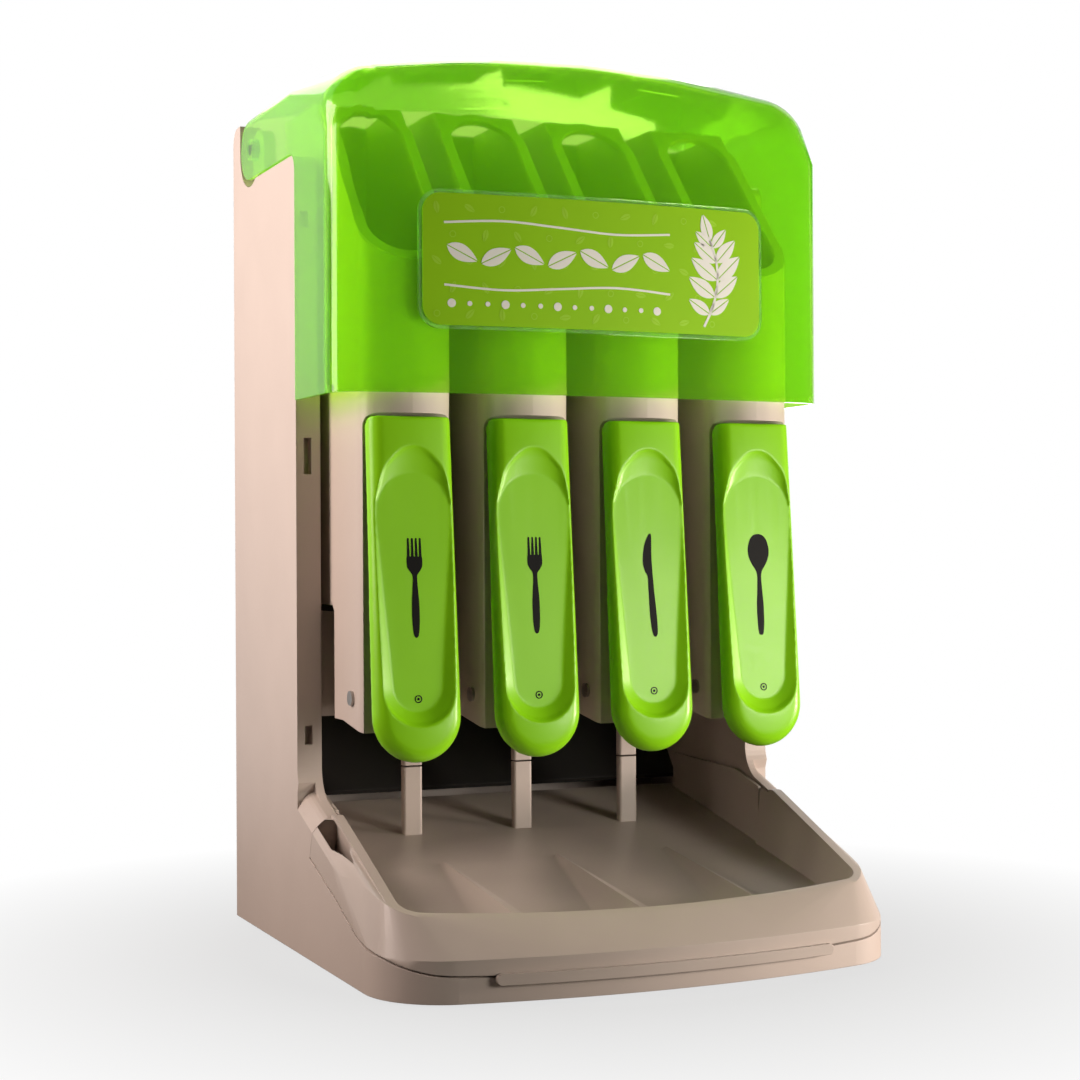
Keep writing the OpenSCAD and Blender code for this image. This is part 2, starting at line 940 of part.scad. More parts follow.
// Thumb recess: an arched top, a flat floor and a scooped end
module thumb_recess() {
    r = recess_w / 2;
    y1 = lever_len - recess_tip - r;
    hull() {
        translate([0, recess_gap + 0.62 * r, lever_t - recess_edge])
            cylinder(r1 = 0.61 * r, r2 = 0.7 * r, h = 4, $fn = 48);
        translate([0, recess_gap + 1.04 * r,
                   lever_t - recess_deep * 0.37])
            cylinder(r1 = 0.87 * r, r2 = r, h = 5, $fn = 48);
        translate([0, recess_gap + 1.58 * r,
                   lever_t - recess_deep * 0.82])
            cylinder(r1 = r - 0.8, r2 = r + 1, h = 8, $fn = 48);
        translate([0, y1, lever_t - recess_deep])
            cylinder(r1 = r - 10, r2 = r - 3, h = 3, $fn = 48);
        translate([0, y1, lever_t])
            cylinder(r1 = r, r2 = r + 1, h = 3.4, $fn = 48);
    }
}

module lever_body() {
    lever_frame()
        difference() {
            lever_form(0);
            difference() {
                lever_form(lever_wall);
                // Floor under the recess
                translate([-recess_w / 2, recess_gap - 2,
                           lever_t - recess_deep - lever_wall])
                    cube([recess_w, lever_len, 20]);
            }
            thumb_recess();
        }
    // Ears on the pin
    difference() {
        for (sx = [-1, 1])
            along_x(sx * ear_x - 2, 4) {
                translate([pivot_d, pivot_z])
                    circle(r = 5.2);
                translate([pivot_d, pivot_z - 5.2])
                    square([lever_t / 2 - 1.2, 10.4]);
            }
        bar_x(-40, 40, pivot_d, pivot_z, pin_dia / 2 + run_fit);
    }
    // Finger that pushes the gate
    along_x(-4, 8)
        polygon([
            [finger_d, finger_z - 3], [finger_d, finger_z + 4],
            [finger_root(finger_z + 9), finger_z + 9],
            [finger_root(finger_z - 8), finger_z - 8]]);
}

module press_lever(i) {
    color(c_lime)
    translate([station_x(i), 0, 0])
        lever_body();
}
module press_lever_1() { press_lever(1); }
module press_lever_2() { press_lever(2); }
module press_lever_3() { press_lever(3); }
module press_lever_4() { press_lever(4); }

module lever_pin(i) {
    color(c_steel)
    translate([station_x(i), 0, 0])
        bar_x(-ear_x - 4, ear_x + 4, pivot_d, pivot_z, pin_dia / 2);
}
module lever_pin_1() { lever_pin(1); }
module lever_pin_2() { lever_pin(2); }
module lever_pin_3() { lever_pin(3); }
module lever_pin_4() { lever_pin(4); }

// Coil body of the torsion spring that returns a lever
module lever_spring(i) {
    color(c_steel)
    translate([station_x(i), 0, 0])
        difference() {
            bar_x(-8, 8, pivot_d, pivot_z, pin_dia / 2 + 1.5);
            bar_x(-9, 9, pivot_d, pivot_z, pin_dia / 2 + 0.3);
        }
}
module lever_spring_1() { lever_spring(1); }
module lever_spring_2() { lever_spring(2); }
module lever_spring_3() { lever_spring(3); }
module lever_spring_4() { lever_spring(4); }

// --- Drop gates --------------------------------------------------------

gate_top = magazine_bottom - gate_gap;
gate_back = tower_back + 4;
gate_half = gate_w / 2;

module gate_web() {
    polygon([
        [axle_d - 7, axle_z], [axle_d + 7, axle_z],
        [axle_d + 9, gate_top - 6], [axle_d + 9, gate_top],
        [axle_d - 60, gate_top], [axle_d - 60, gate_top - 5]]);
    translate([axle_d, axle_z])
        circle(r = 8);
}

module gate_body() {
    difference() {
        union() {
            for (sx = [-1, 1])
                along_x(sx * (gate_half - gate_t / 2) - gate_t / 2,
                        gate_t)
                    gate_web();
            // Floor under the stack
            slab(-gate_half, gate_half, gate_back, axle_d - 10,
                 gate_top - gate_t, gate_top);
            // Tooth that slips in over the lowest piece
            slab(-gate_half, gate_half, axle_d + 6, axle_d + 9,
                 gate_top - 4, gate_top + 13);
            // Hub
            bar_x(-gate_half, gate_half, axle_d, axle_z, 7);
            // Arm that the lever's finger pushes
            along_x(-5, 10)
                polygon([
                    [axle_d - gate_t, axle_z],
                    [axle_d + gate_t, axle_z],
                    [axle_d + gate_t, finger_z + 7],
                    [axle_d - gate_t, finger_z + 7]]);
        }
        bar_x(-60, 60, axle_d, axle_z, axle_dia / 2 + run_fit);
    }
}

module drop_gate(i) {
    color(c_dark)
    translate([station_x(i), 0, 0])
        gate_body();
}
module drop_gate_1() { drop_gate(1); }
module drop_gate_2() { drop_gate(2); }
module drop_gate_3() { drop_gate(3); }
module drop_gate_4() { drop_gate(4); }

// Axle with a screw head outside each wall of the tower
module gate_axle(i) {
    color(c_steel)
    translate([station_x(i), 0, 0]) {
        bar_x(-tower_half - 1, tower_half + 1, axle_d, axle_z,
              axle_dia / 2);
        for (sx = [-1, 1])
            bar_x(sx > 0 ? tower_half : -tower_half - 2,
                  sx > 0 ? tower_half + 2 : -tower_half,
                  axle_d, axle_z, head_dia / 2);
    }
}
module gate_axle_1() { gate_axle(1); }
module gate_axle_2() { gate_axle(2); }
module gate_axle_3() { gate_axle(3); }
module gate_axle_4() { gate_axle(4); }

// --- Cover -------------------------------------------------------------

cover_half = half_w + 0.7;
arch_r = bow_r(cover_half, cover_rise);
front_r = bow_r(cover_half, cover_bow);
leg_d = panel_d + 1;
shoulder_r = 8;

// Front view of the cover: straight sides and an arched top
module arch_view(t) {
    w = cover_half - shoulder_r;
    z = cover_side - shoulder_r + 2;
    intersection() {
        translate([0, cover_side + cover_rise - arch_r])
            circle(r = arch_r - t, $fn = big_fn);
        union() {
            translate([-cover_half + t, cover_low - t])
                square([2 * (cover_half - t), z - cover_low + t]);
            translate([-w, cover_low - t])
                square([2 * w, cover_side + cover_rise]);
            for (sx = [-1, 1])
                translate([sx * w, z])
                    circle(r = shoulder_r - t);
        }
    }
}

// Ball in the edge between roof and front, of radius r
module edge_ball(x, r, t) {
    d = cover_front - front_r
        + sqrt((front_r - r) * (front_r - r) - x * x);
    z = cover_side + cover_rise - arch_r
        + sqrt((arch_r - r) * (arch_r - r) - x * x);
    translate([x, body_d / 2 - d, z])
        sphere(r = r - t, $fn = 40);
}

// Closed form of the cover, drawn in by t on every side
module cover_form(t) {
    hull() {
        plan(cover_low - t, cover_drop - cover_round + 2 + t)
            bowed(cover_half - t, cover_front - t, cover_bow,
                  cover_corner - t, -20 - t, 24);
        along_y(-20 - t, leg_d - 10)
            arch_view(t);
        for (k = [-4:4])
            edge_ball(k / 4 * (cover_half - cover_round - 14),
                      cover_round, t);
        for (sx = [-1, 1])
            edge_ball(sx * (cover_half - cover_ball), cover_ball, t);
    }
}

// Side view of the cover: front part, arms and round rear ends
module cover_view() {
    arm_low = hinge_z - arm_r;
    top = cover_side + cover_rise + 1;
    translate([leg_d, cover_low])
        square([cover_front + 1 - leg_d, top - cover_low]);
    translate([hinge_d, arm_low])
        square([leg_d + 1 - hinge_d, top - arm_low]);
    translate([hinge_d, hinge_z])
        circle(r = arm_r);
    polygon([
        [hinge_d, hinge_z],
        [hinge_d + arm_r * cos(118), hinge_z + arm_r * sin(118)],
        [hinge_d - 6, cover_side + 1], [hinge_d - 3, top],
        [hinge_d, top]]);
    // Rounded inside corner between arm and front part
    difference() {
        translate([leg_d - arm_fillet, arm_low - arm_fillet])
            square(arm_fillet + 0.5);
        translate([leg_d - arm_fillet, arm_low - arm_fillet])
            circle(r = arm_fillet);
    }
}

module cover_shell() {
    color(c_clear) {
        intersection() {
            difference() {
                cover_form(0);
                cover_form(cover_wall);
            }
            difference() {
                along_x(-cover_half - 1, 2 * cover_half + 2)
                    cover_view();
                // The roof ends before it would touch the ears
                slab(-half_w + shoulder_r, half_w - shoulder_r,
                     0, hinge_d + 1, hinge_z + arm_r, ear_h + 60);
            }
        }
        // Hem inside the lower edge
        plan(cover_low, hem_h)
            difference() {
                bowed(cover_half - cover_wall / 2,
                      cover_front - cover_wall / 2, cover_bow,
                      cover_corner - cover_wall / 2, leg_d);
                bowed(cover_half - cover_wall - hem_t,
                      cover_front - cover_wall - hem_t, cover_bow,
                      cover_corner - cover_wall - hem_t, leg_d - 1);
            }
        // Bosses for the hinge pins
        for (sx = [-1, 1])
            difference() {
                bar_x(sx > 0 ? inner_half + lug_t + 1
                      : -cover_half + cover_wall - 0.5,
                      sx > 0 ? cover_half - cover_wall + 0.5
                      : -inner_half - lug_t - 1,
                      hinge_d, hinge_z, boss_r);
                bar_x(sx > 0 ? inner_half : -cover_half + cover_wall,
                      sx > 0 ? cover_half - cover_wall
                      : -inner_half,
                      hinge_d, hinge_z, hinge_dia / 2);
            }
    }
}

module cover_hinge_pins() {
    color(c_steel)
    for (sx = [-1, 1])
        bar_x(sx > 0 ? inner_half + 1 : -cover_half + cover_wall,
              sx > 0 ? cover_half - cover_wall : -inner_half - 1,
              hinge_d, hinge_z, hinge_dia / 2);
}

// Shell piece that follows the bow of the cover's front
module bowed_plate(g0, g1) {
    intersection() {
        plan(cover_low, cover_drop)
            translate([0, cover_front - front_r])
                difference() {
                    circle(r = front_r + g1, $fn = big_fn);
                    circle(r = front_r + g0, $fn = big_fn);
                }
        along_y(cover_front - 60, cover_front + 20)
            translate([0, cover_side - label_drop])
                children();
    }
}

module label_holder() {
    color(c_clear)
        bowed_plate(0, label_t)
            rounded(label_w, label_h, label_r);
}

card_t = 0.6;
module label_card() {
    color(c_lime)
        bowed_plate(label_t, label_t + card_t)
            rounded(label_w - 5, label_h - 5, label_r - 2.5);
}

// --- Pieces ------------------------------------------------------------

base_pan();
left_side_panel();
right_side_panel();
back_panel();
upper_rail();
lower_rail();
chute_ramp();
divider_1();
divider_2();
divider_3();
rubber_feet();
catch_tray();
tray_rear();
cover_shell();
label_holder();
label_card();
cover_hinge_pins();
tower_1();
tower_2();
tower_3();
tower_4();
lever_pin_1();
lever_pin_2();
lever_pin_3();
lever_pin_4();
lever_spring_1();
lever_spring_2();
lever_spring_3();
lever_spring_4();
gate_axle_1();
gate_axle_2();
gate_axle_3();
gate_axle_4();
press_lever_1();
press_lever_2();
press_lever_3();
press_lever_4();
drop_gate_1();
drop_gate_2();
drop_gate_3();
drop_gate_4();
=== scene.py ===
"""Looks of a counter-top cutlery dispenser: moulded shell, glossy levers, clear tinted cover."""

import json
import math

import bmesh
import bpy
from mathutils import Matrix, Vector
from mathutils.bvhtree import BVHTree


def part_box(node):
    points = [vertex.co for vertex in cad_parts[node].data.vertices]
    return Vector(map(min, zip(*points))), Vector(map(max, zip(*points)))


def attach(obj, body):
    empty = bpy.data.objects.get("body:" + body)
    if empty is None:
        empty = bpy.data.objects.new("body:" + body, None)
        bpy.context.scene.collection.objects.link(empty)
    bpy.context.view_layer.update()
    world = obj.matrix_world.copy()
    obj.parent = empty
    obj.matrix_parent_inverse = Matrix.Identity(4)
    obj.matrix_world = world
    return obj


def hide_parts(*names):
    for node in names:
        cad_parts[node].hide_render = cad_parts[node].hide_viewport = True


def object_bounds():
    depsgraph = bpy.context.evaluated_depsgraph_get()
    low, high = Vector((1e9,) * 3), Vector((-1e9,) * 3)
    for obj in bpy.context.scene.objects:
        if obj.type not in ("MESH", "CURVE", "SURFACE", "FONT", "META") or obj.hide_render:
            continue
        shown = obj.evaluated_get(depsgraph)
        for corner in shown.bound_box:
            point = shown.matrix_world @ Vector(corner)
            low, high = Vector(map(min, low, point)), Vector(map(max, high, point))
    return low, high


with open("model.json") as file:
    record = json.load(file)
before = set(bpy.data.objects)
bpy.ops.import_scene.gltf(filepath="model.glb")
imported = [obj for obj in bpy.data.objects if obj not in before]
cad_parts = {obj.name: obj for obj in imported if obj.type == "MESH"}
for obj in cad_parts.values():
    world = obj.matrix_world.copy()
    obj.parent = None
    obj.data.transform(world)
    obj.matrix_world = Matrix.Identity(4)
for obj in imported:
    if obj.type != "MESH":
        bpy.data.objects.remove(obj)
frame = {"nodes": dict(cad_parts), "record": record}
cad_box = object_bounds()
nodes = frame["nodes"]

MM = 0.001

# An edge of a moulding that folds by more than this many degrees stays crisp
CREASE_DEG = 28
# Corners of a moulding nearer than this are one corner, and shorter edges are dropped
WELD_GAP = 0.004 * MM
SHORTEST_EDGE = 0.002 * MM

# The levers' edges are rounded on a fine grid, and the mesh is then thinned out
EASING_GRID = 0.8 * MM
EASING_PASSES = 6
EASING_FACES_KEPT = 0.16
# The room round the first lever's pin, where rounding would close the bore
PIN_ROOM_LOW = Vector((-0.1500, -0.0586, 0.3465))
PIN_ROOM_HIGH = Vector((-0.1080, -0.0440, 0.3600))

# Ink is laid from this far in front of the object on to its face
INK_START_Y = -0.4
INK_THICKNESS = 0.1 * MM


# --- Colours and node trees ----------------------------------------------


def paint(code):
    """Turns an sRGB hex value into linear red, green, blue and alpha."""
    parts = [int(code[i : i + 2], 16) / 255 for i in (1, 3, 5)]
    return [c / 12.92 if c <= 0.04045 else ((c + 0.055) / 1.055) ** 2.4 for c in parts] + [1.0]


def add(tree, kind, settings=None, links=None):
    """Adds one node, sets its values and joins its inputs to other nodes' outputs."""
    node = tree.nodes.new(kind)
    for key, value in (settings or {}).items():
        if isinstance(key, str) and hasattr(node, key):
            setattr(node, key, value)
        else:
            node.inputs[key].default_value = value
    for key, source in (links or {}).items():
        tree.links.new(source, node.inputs[key])
    return node


def new_material(name):
    """Starts an empty material and returns it with its tree and its output node."""
    material = bpy.data.materials.new(name)
    material.use_nodes = True
    tree = material.node_tree
    tree.nodes.clear()
    return material, tree, tree.nodes.new("ShaderNodeOutputMaterial")


def moulded_plastic(
    name, colour, shade, rough, grain_mm, grain_depth, coat=0.0, soften=0.6, gleam=0.5
):
    """Injection-moulded plastic: a grain that breaks up the gloss and a slight drift of colour.

    Real grain is near 0.1 mm, too fine to show, so grain_mm is drawn as coarse as it shows.
    """
    material, tree, out = new_material(name)
    place = add(tree, "ShaderNodeTexCoord")
    # Broad, faint drift of colour, as a moulding shows across 60 mm
    drift = add(
        tree,
        "ShaderNodeTexNoise",
        {"Scale": 1 / (60 * MM), "Detail": 2.0, "Roughness": 0.5},
        {"Vector": place.outputs["Object"]},
    )
    tint = add(tree, "ShaderNodeValToRGB", {}, {"Fac": drift.outputs["Fac"]})
    tint.color_ramp.elements[0].position = 0.35
    tint.color_ramp.elements[0].color = paint(shade)
    tint.color_ramp.elements[1].position = 0.65
    tint.color_ramp.elements[1].color = paint(colour)
    grain = add(
        tree,
        "ShaderNodeTexNoise",
        {"Scale": 1 / (grain_mm * MM), "Detail": 3.0, "Roughness": 0.6},
        {"Vector": place.outputs["Object"]},
    )
    gloss = add(
        tree,
        "ShaderNodeMapRange",
        {"From Min": 0.3, "From Max": 0.7, "To Min": rough - 0.04, "To Max": rough + 0.05},
        {"Value": grain.outputs["Fac"]},
    )
    edge = add(tree, "ShaderNodeBevel", {"samples": 4, "Radius": soften * MM})
    bump = add(
        tree,
        "ShaderNodeBump",
        {"Strength": 0.35, "Distance": grain_depth * MM},
        {"Height": grain.outputs["Fac"], "Normal": edge.outputs["Normal"]},
    )
    skin = add(
        tree,
        "ShaderNodeBsdfPrincipled",
        {
            "IOR": 1.5,
            "Specular IOR Level": gleam,
            "Coat Weight": coat,
            "Coat Roughness": 0.12,
        },
        {
            "Base Color": tint.outputs["Color"],
            "Roughness": gloss.outputs["Result"],
            "Normal": bump.outputs["Normal"],
        },
    )
    tree.links.new(skin.outputs["BSDF"], out.inputs["Surface"])
    return material


def tinted_clear(name, dye, shade, milk, milk_share, rough):
    """Clear plastic: light comes through it in the dye's colour, and a milky share glows softly."""
    material, tree, out = new_material(name)
    clear = add(
        tree,
        "ShaderNodeBsdfPrincipled",
        {"Base Color": paint(dye), "Roughness": rough, "IOR": 1.42, "Transmission Weight": 1.0},
    )
    # Fine pigment in the plastic scatters some of the light forwards and back
    back = add(tree, "ShaderNodeBsdfDiffuse", {"Color": paint(milk)})
    forward = add(tree, "ShaderNodeBsdfTranslucent", {"Color": paint(milk)})
    glow = add(
        tree,
        "ShaderNodeMixShader",
        {0: 0.5},
        {1: back.outputs["BSDF"], 2: forward.outputs["BSDF"]},
    )
    body = add(
        tree,
        "ShaderNodeMixShader",
        {0: milk_share},
        {1: clear.outputs["BSDF"], 2: glow.outputs["Shader"]},
    )
    # Light that only casts a shadow passes straight through, tinted by the dye
    passing = add(tree, "ShaderNodeBsdfTransparent", {"Color": paint(shade)})
    path = add(tree, "ShaderNodeLightPath")
    both = add(
        tree,
        "ShaderNodeMixShader",
        {},
        {0: path.outputs["Is Shadow Ray"], 1: body.outputs["Shader"], 2: passing.outputs["BSDF"]},
    )
    tree.links.new(both.outputs["Shader"], out.inputs["Surface"])
    return material


def turned_steel(name, colour, rough):
    """Turned steel: fine uneven marks, drawn at 0.8 mm so that they show, and a soft gloss."""
    material, tree, out = new_material(name)
    place = add(tree, "ShaderNodeTexCoord")
    marks = add(
        tree,
        "ShaderNodeTexNoise",
        {"Scale": 1 / (0.8 * MM), "Detail": 2.0},
        {"Vector": place.outputs["Object"]},
    )
    gloss = add(
        tree,
        "ShaderNodeMapRange",
        {"To Min": rough - 0.08, "To Max": rough + 0.08},
        {"Value": marks.outputs["Fac"]},
    )
    bump = add(
        tree,
        "ShaderNodeBump",
        {"Strength": 0.2, "Distance": 0.05 * MM},
        {"Height": marks.outputs["Fac"]},
    )
    skin = add(
        tree,
        "ShaderNodeBsdfPrincipled",
        {"Base Color": paint(colour), "Metallic": 1.0},
        {"Roughness": gloss.outputs["Result"], "Normal": bump.outputs["Normal"]},
    )
    tree.links.new(skin.outputs["BSDF"], out.inputs["Surface"])
    return material


# Spark-eroded ABS of the shell: a fine grain gives it soft satin highlights
shell_abs = moulded_plastic(
    "shell_abs_spark_eroded", "#C9BBB1", "#C6B8AE", rough=0.44, grain_mm=1.2, grain_depth=0.06
)
# The same ABS in the tray: a little greyer and smoother where cutlery has rubbed it
tray_abs = moulded_plastic(
    "tray_abs_satin", "#C4B7AD", "#C0B3A9", rough=0.36, grain_mm=1.4, grain_depth=0.06
)
# Painted shade on the inner parts: black plastic that takes the light away under and between the
# towers, where shade falls
inner_painted_shade_black = moulded_plastic(
    "inner_black_painted_shade", "#1C1A18", "#171513", rough=0.55, grain_mm=1.2, grain_depth=0.08
)
# Polished lime ABS of the levers: smooth, with broad highlights
lever_abs = moulded_plastic(
    "lever_abs_polished",
    "#94E212",
    "#90DE10",
    rough=0.34,
    grain_mm=2.5,
    grain_depth=0.02,
    coat=0.05,
    gleam=0.3,
)
# Moulded rubber of the feet: dull and slightly rough
foot_rubber = moulded_plastic(
    "foot_rubber_moulded", "#191919", "#141414", rough=0.8, grain_mm=0.8, grain_depth=0.08
)
# What the inks share: an even satin film with hardly any edge
CARD_INK = {"rough": 0.5, "grain_mm": 0.9, "grain_depth": 0.02, "gleam": 0.2}
# Printed card: a flat lime ground, its paler pattern and its white drawing
card_ink = moulded_plastic("card_lime_print", "#9ADA0A", "#96D608", soften=0.1, **CARD_INK)
card_pale = moulded_plastic("card_pale_print", "#ACE438", "#A8E034", soften=0.05, **CARD_INK)
card_white = moulded_plastic("card_white_print", "#FAFCF4", "#F6FAEE", soften=0.05, **CARD_INK)
# Pad-printed ink on the levers: black and nearly without gloss
pad_ink = moulded_plastic(
    "pad_print_black",
    "#0B0B08",
    "#080806",
    rough=0.5,
    grain_mm=0.9,
    grain_depth=0.01,
    soften=0.05,
    gleam=0.12,
)
# Dyed polycarbonate of the cover: bright green where light comes through, glossy outside
cover_pc = tinted_clear(
    "cover_polycarbonate_green", "#BFEA64", "#BFEA64", "#8AD82A", milk_share=0.22, rough=0.07
)
# Polished acrylic holder in front of the cover: nearly colourless, with sharp highlights
holder_pc = tinted_clear(
    "holder_acrylic_clear", "#EAF7D4", "#EFFAE2", "#F2FAE6", milk_share=0.04, rough=0.02
)
# Turned steel of pins, axles and springs: grey metal with blurred highlights
pin_steel = turned_steel("pin_steel_turned", "#A9A6A2", rough=0.32)


FINISH = {
    "shell_greige": shell_abs,
    # The inner parts get the black painted shade
    "inner_dark": inner_painted_shade_black,
    "lever_lime": lever_abs,
    "cover_green": cover_pc,
    "card_lime": card_ink,
    "pin_steel": pin_steel,
    "foot_rubber": foot_rubber,
}
# Nodes that look different from the rest of their slot
OWN_FINISH = {"catch_tray": tray_abs, "tray_rear": tray_abs, "label_holder": holder_pc}
slot_of = {s["node"]: s["material_slot"] for s in frame["record"]["subparts"]}
for name, node in nodes.items():
    finish = OWN_FINISH.get(name) or FINISH[slot_of[name]]
    node.data.materials.clear()
    node.data.materials.append(finish)


# --- Smooth mouldings ----------------------------------------------------


def smooth_moulding(name, node, body):
    """A moulding in a CAD node's place whose curved faces shade as one polished surface."""
    mesh = bmesh.new()
    corners = [mesh.verts.new(v.co) for v in nodes[node].data.vertices]
    for p in nodes[node].data.polygons:
        mesh.faces.new([corners[k] for k in p.vertices])
    bmesh.ops.remove_doubles(mesh, verts=mesh.verts, dist=WELD_GAP)
    bmesh.ops.dissolve_degenerate(mesh, edges=mesh.edges, dist=SHORTEST_EDGE)
    for face in mesh.faces:
        face.smooth = True
    crease = math.radians(CREASE_DEG)
    for edge in mesh.edges:
        edge.smooth = len(edge.link_faces) == 2 and edge.calc_face_angle(0.0) < crease
    data = bpy.data.meshes.new(name)
    mesh.to_mesh(data)
    mesh.free()
    piece = bpy.data.objects.new(name, data)
    bpy.context.scene.collection.objects.link(piece)
    shade = piece.modifiers.new("even_shading", "WEIGHTED_NORMAL")
    shade.keep_sharp = True
    data.materials.append(nodes[node].data.materials[0])
    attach(piece, body)
    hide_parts(node)
    return piece


def soft_edged(piece):
    """The piece's mesh with its edges rounded as a polished tool leaves them."""
    fine = piece.modifiers.new("fine_grid", "REMESH")
    fine.mode = "VOXEL"
    fine.voxel_size = EASING_GRID
    ease = piece.modifiers.new("eased_edges", "SMOOTH")
    ease.factor = 0.5
    ease.iterations = EASING_PASSES
    thin = piece.modifiers.new("fewer_faces", "DECIMATE")
    thin.ratio = EASING_FACES_KEPT
    bpy.context.view_layer.update()
    seen = piece.evaluated_get(bpy.context.evaluated_depsgraph_get())
    data = bpy.data.meshes.new_from_object(seen)
    for step in (fine, ease, thin):
        piece.modifiers.remove(step)
    for p in data.polygons:
        p.use_smooth = True
    return data


def exact_seat(data, exact, low, high):
    """Gives the part of a mesh inside a box its exact faces back, so a bore keeps its clearance.

    The exact faces lie in the box beside the rounded ones and are not joined to them.
    """
    bm = bmesh.new()
    bm.from_mesh(exact)
    for k in range(3):
        for corner, way in ((low, -1), (high, 1)):
            outward = Vector((0, 0, 0))
            outward[k] = way
            bmesh.ops.bisect_plane(
                bm,
                geom=bm.verts[:] + bm.edges[:] + bm.faces[:],
                plane_co=corner,
                plane_no=outward,
                clear_outer=True,
            )
    seat = bpy.data.meshes.new("lever_seat")
    bm.to_mesh(seat)
    bm.clear()
    bm.from_mesh(data)
    inside = [
        f
        for f in bm.faces
        if any(all(low[k] < v.co[k] < high[k] for k in range(3)) for v in f.verts)
    ]
    bmesh.ops.delete(bm, geom=inside, context="FACES")
    bm.from_mesh(seat)
    bm.to_mesh(data)
    bm.free()


smooth_moulding("cover_moulding", "cover_shell", "cover")
smooth_moulding("tray_moulding", "catch_tray", "tray")
# The four levers are one moulding: its edges are eased once and the mesh is shared out
first_lo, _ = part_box("press_lever_1")
for i in range(1, 5):
    lever = smooth_moulding(f"lever_moulding_{i}", f"press_lever_{i}", f"lever_{i}")
    lever.modifiers.clear()
    if i == 1:
        eased = soft_edged(lever)
        exact_seat(eased, lever.data, PIN_ROOM_LOW, PIN_ROOM_HIGH)
    lo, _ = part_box(f"press_lever_{i}")
    lever.data = eased.copy()
    lever.data.transform(Matrix.Translation(lo - first_lo))


# --- Printed pieces ------------------------------------------------------


def smooth_line(points, steps=8):
    """Runs a smooth curve through given points."""
    out = []
    last = len(points) - 1
    for i in range(last):
        a, b, c, d = (points[max(0, min(last, i + k))] for k in (-1, 0, 1, 2))
        for s in range(steps):
            t = s / steps
            out.append(
                tuple(
                    0.5
                    * (
                        2 * b[k]
                        + (c[k] - a[k]) * t
                        + (2 * a[k] - 5 * b[k] + 4 * c[k] - d[k]) * t * t
                        + (3 * b[k] - a[k] - 3 * c[k] + d[k]) * t**3
                    )
                    for k in range(len(b))
                )
            )
    out.append(tuple(points[last]))
    return out


def surface_of(name):
    """A ray target made from a CAD node's mesh."""
    mesh = nodes[name].data
    corners = [v.co for v in mesh.vertices]
    return BVHTree.FromPolygons(corners, [p.vertices[:] for p in mesh.polygons])


def ink_film(name, ribbons, target, body, finish, across=2, lift=0.12 * MM):
    """Lays flat ink on a front face. A ribbon is rows of two (x, z) points, in metres."""
    mesh = bmesh.new()
    for rows in ribbons:
        last = None
        for (x0, z0), (x1, z1) in rows:
            row = []
            for k in range(across + 1):
                t = k / across
                start = Vector((x0 + (x1 - x0) * t, INK_START_Y, z0 + (z1 - z0) * t))
                hit = target.ray_cast(start, Vector((0, 1, 0)))[0]
                if hit is None:
                    raise RuntimeError("no surface under " + name)
                row.append(mesh.verts.new(hit + Vector((0, -lift, 0))))
            if last:
                for k in range(across):
                    mesh.faces.new((last[k], last[k + 1], row[k + 1], row[k]))
            last = row
    bmesh.ops.remove_doubles(mesh, verts=mesh.verts, dist=0.01 * MM)
    bmesh.ops.recalc_face_normals(mesh, faces=mesh.faces)
    data = bpy.data.meshes.new(name)
    mesh.to_mesh(data)
    mesh.free()
    piece = bpy.data.objects.new(name, data)
    bpy.context.scene.collection.objects.link(piece)
    data.materials.append(finish)
    thick = piece.modifiers.new("film", "SOLIDIFY")
    thick.thickness = INK_THICKNESS
    thick.offset = 0
    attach(piece, body)


def level_rows(strips):
    """Turns rows of (height, left, right) into rows of two points."""
    return [[((left, z), (right, z)) for z, left, right in rows] for rows in strips]


def ring_ribbon(x, z, inner, outer, steps=28):
    """A flat ring, or a disc where the inner radius is nearly nothing."""
    rows = []
    for k in range(steps + 1):
        a = 2 * math.pi * k / steps
        c, d = math.cos(a), math.sin(a)
        rows.append(((x + inner * c, z + inner * d), (x + outer * c, z + outer * d)))
    return rows


def line_ribbon(points, width):
    """A line of even width along a smooth curve through given (x, z) points."""
    run = smooth_line(points, 6)
    rows = []
    for k, (x, z) in enumerate(run):
        x0, z0 = run[max(0, k - 1)]
        x1, z1 = run[min(len(run) - 1, k + 1)]
        long = math.hypot(x1 - x0, z1 - z0)
        nx, nz = -(z1 - z0) / long * width / 2, (x1 - x0) / long * width / 2
        rows.append(((x - nx, z - nz), (x + nx, z + nz)))
    return rows


def leaf_ribbons(x, z, long, wide, turn, vein, steps=10):
    """A pointed leaf in two halves, with a fine bare vein between them."""
    c, d = math.cos(math.radians(turn)), math.sin(math.radians(turn))
    halves = []
    for side in (-1, 1):
        rows = []
        for k in range(steps + 1):
            t = k / steps
            # The belly lies a little nearer to the stalk than to the tip
            belly = wide / 2 * math.sin(math.pi * t**0.85) ** 0.9 if 0 < t < 1 else 0.0
            near, far = side * vein / 2, side * (vein / 2 + belly)
            along = long * t
            rows.append(
                (
                    (x + along * c - near * d, z + along * d + near * c),
                    (x + along * c - far * d, z + along * d + far * c),
                )
            )
        halves.append(rows)
    return halves


# In the next three, a point's first number is its share of the height, down from the top


